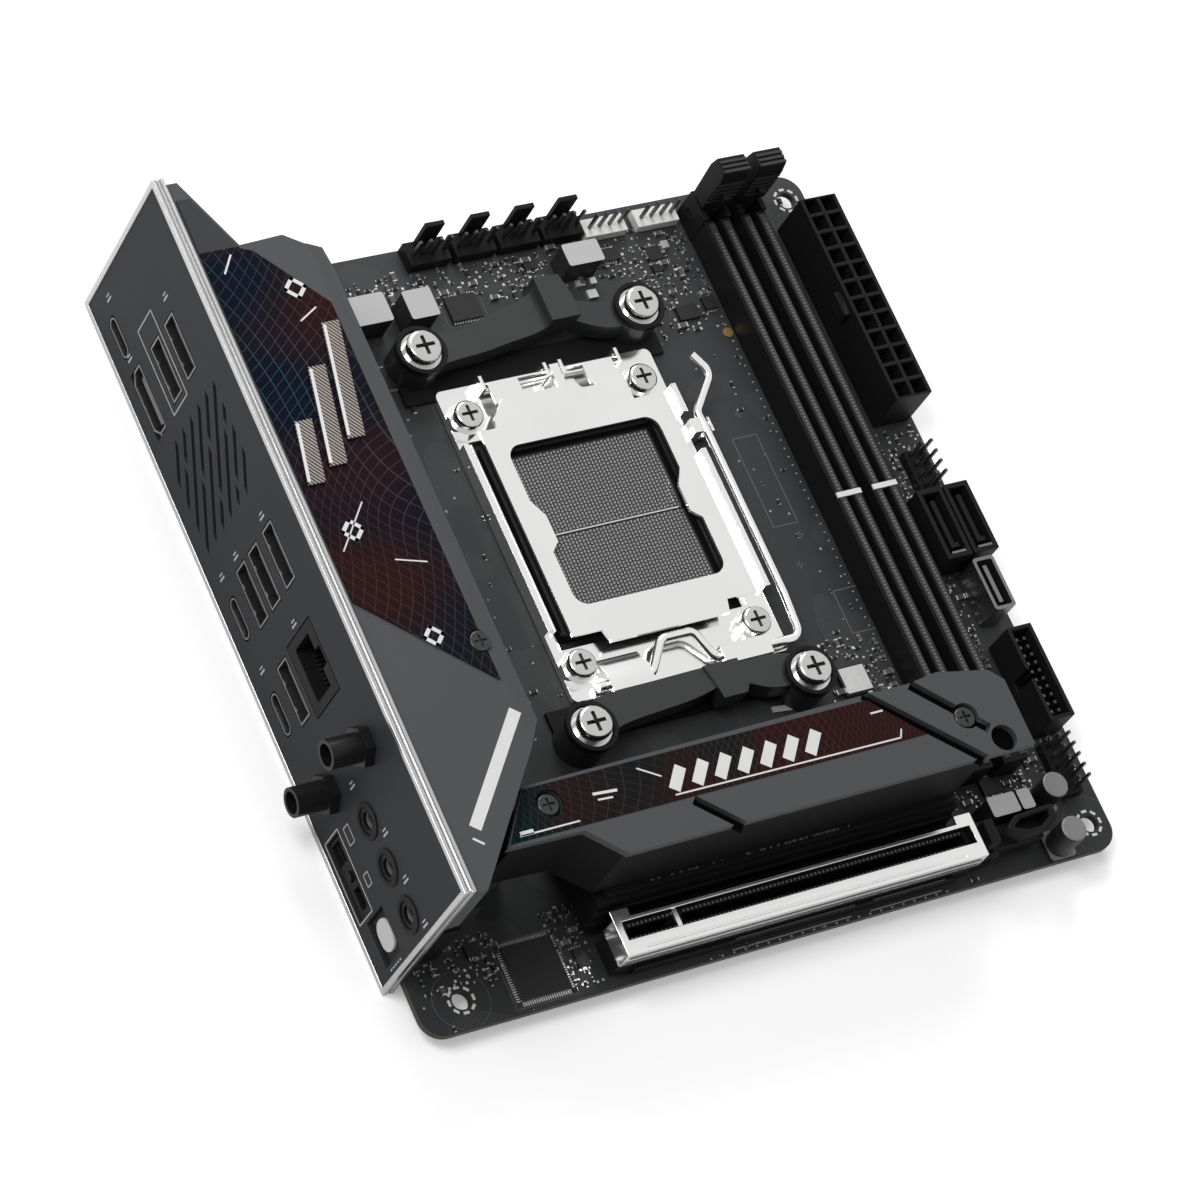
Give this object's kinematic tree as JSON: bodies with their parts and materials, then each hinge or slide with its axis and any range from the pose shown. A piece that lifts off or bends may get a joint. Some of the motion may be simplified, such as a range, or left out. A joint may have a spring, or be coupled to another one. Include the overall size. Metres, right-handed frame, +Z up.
{
  "type": "motherboard",
  "caption": "Small square desktop motherboard with an open processor socket, memory and expansion slots, rear port panel with cover, and a finned drive tower.",
  "frame": {"origin": "axis of the mounting hole at the rear by the expansion slot, on the underside of the board", "axes": "+X from the rear panel towards the front edge, +Y from the expansion slot towards the far edge, +Z up from the board"},
  "size_m": [0.1814, 0.1745, 0.0477],
  "materials": {
    "circuit_board": "dark solder mask with fine pads",
    "polished_steel": "bright rolled steel",
    "plated_screw": "nickel-plated",
    "black_plastic": "moulded black plastic",
    "satin_bracket": "satin black coating",
    "white_plastic": "moulded white plastic",
    "contact_metal": "thin plated contacts",
    "contact_field": "grey field of spring contacts",
    "dark_panel": "fine matte charcoal",
    "silver_rim": "bright satin edge",
    "dark_cover": "matte dark grey",
    "art_sheet": "glossy dark sheet with fine coloured lines",
    "emblem_metal": "satin and hatched metal",
    "black_sink": "black anodised",
    "port_shell": "pressed shell",
    "dark_brass": "black-plated brass",
    "grey_button": "light grey plastic",
    "choke_grey": "pressed iron powder",
    "chip_black": "moulded package",
    "pad_grey": "soft thermal pad"
  },
  "bodies": {
    "board_assembly": {"board": "circuit_board", "socket_backplate": "satin_bracket", "socket_housing": "black_plastic", "socket_contacts": "contact_field", "socket_frame": "polished_steel", "frame_screws": "plated_screw", "upper_cooler_bracket": "satin_bracket", "lower_cooler_bracket": "satin_bracket", "bracket_screws": "plated_screw", "memory_slot_1": "black_plastic", "memory_slot_2": "black_plastic", "expansion_slot": "black_plastic", "expansion_slot_shell": "polished_steel", "rear_panel": "dark_panel", "rear_panel_rim": "silver_rim", "usb_a_shells": "port_shell", "usb_a_bodies": "black_plastic", "usb_c_ports": "port_shell", "video_port": "port_shell", "network_port": "port_shell", "antenna_connectors": "dark_brass", "antenna_nuts": "dark_brass", "audio_jacks": "black_plastic", "port_block": "black_plastic", "rear_cover": "dark_cover", "cover_art_panel": "art_sheet", "cover_emblem": "emblem_metal", "cover_screw": "satin_bracket", "power_heatsink": "black_sink", "power_stages": "chip_black", "thermal_pad": "pad_grey", "tower_top_plate": "dark_cover", "tower_art_strip": "art_sheet", "tower_heatsink": "black_sink", "tower_base": "black_sink", "riser_board": "circuit_board", "tower_screws": "satin_bracket", "tower_standoffs": "plated_screw", "drive_socket": "black_plastic", "chipset": "chip_black", "main_power_connector": "black_plastic", "processor_power_connector": "black_plastic", "fan_headers": "black_plastic", "light_headers": "white_plastic", "header_pins": "contact_metal", "front_panel_header": "black_plastic", "edge_header": "black_plastic", "storage_ports": "black_plastic", "front_usb_c_header": "port_shell", "front_usb_header": "black_plastic", "chokes": "choke_grey", "capacitors": "plated_screw", "control_chips": "chip_black"},
    "load_lever": {"load_lever": "polished_steel"},
    "load_plate": {"load_plate": "polished_steel"},
    "memory_latch_1": {"memory_latch_1": "black_plastic"},
    "memory_latch_2": {"memory_latch_2": "black_plastic"},
    "expansion_latch": {"expansion_latch": "black_plastic"},
    "small_button": {"small_button": "black_plastic"},
    "large_button": {"large_button": "grey_button"}
  },
  "joints": [
    {"name": "lever_swing", "type": "hinge", "parent": "board_assembly", "child": "load_lever", "pos_m": [0.07784, 0.05545, 0.0048], "axis": [1, 0, 0], "range_deg": [0, 92]},
    {"name": "plate_swing", "type": "hinge", "parent": "board_assembly", "child": "load_plate", "pos_m": [0.07714, 0.12685, 0.0055], "axis": [-1, 0, 0], "range_deg": [0, 115]},
    {"name": "memory_latch_1_tilt", "type": "hinge", "parent": "board_assembly", "child": "memory_latch_1", "pos_m": [0.13034, 0.15705, 0.0061], "axis": [-1, 0, 0], "range_deg": [0, 25]},
    {"name": "memory_latch_2_tilt", "type": "hinge", "parent": "board_assembly", "child": "memory_latch_2", "pos_m": [0.13964, 0.15705, 0.0061], "axis": [-1, 0, 0], "range_deg": [0, 25]},
    {"name": "expansion_latch_tilt", "type": "hinge", "parent": "board_assembly", "child": "expansion_latch", "pos_m": [0.12474, 0.00105, 0.0048], "axis": [0, -1, 0], "range_deg": [0, 18]},
    {"name": "small_button_push", "type": "slide", "parent": "board_assembly", "child": "small_button", "axis": [1, 0, 0], "range_m": [0, 0.0006], "stiffness_N_per_m": 400, "springref_m": -0.0005},
    {"name": "large_button_push", "type": "slide", "parent": "board_assembly", "child": "large_button", "axis": [1, 0, 0], "range_m": [0, 0.0006], "stiffness_N_per_m": 400, "springref_m": -0.0005}
  ]
}
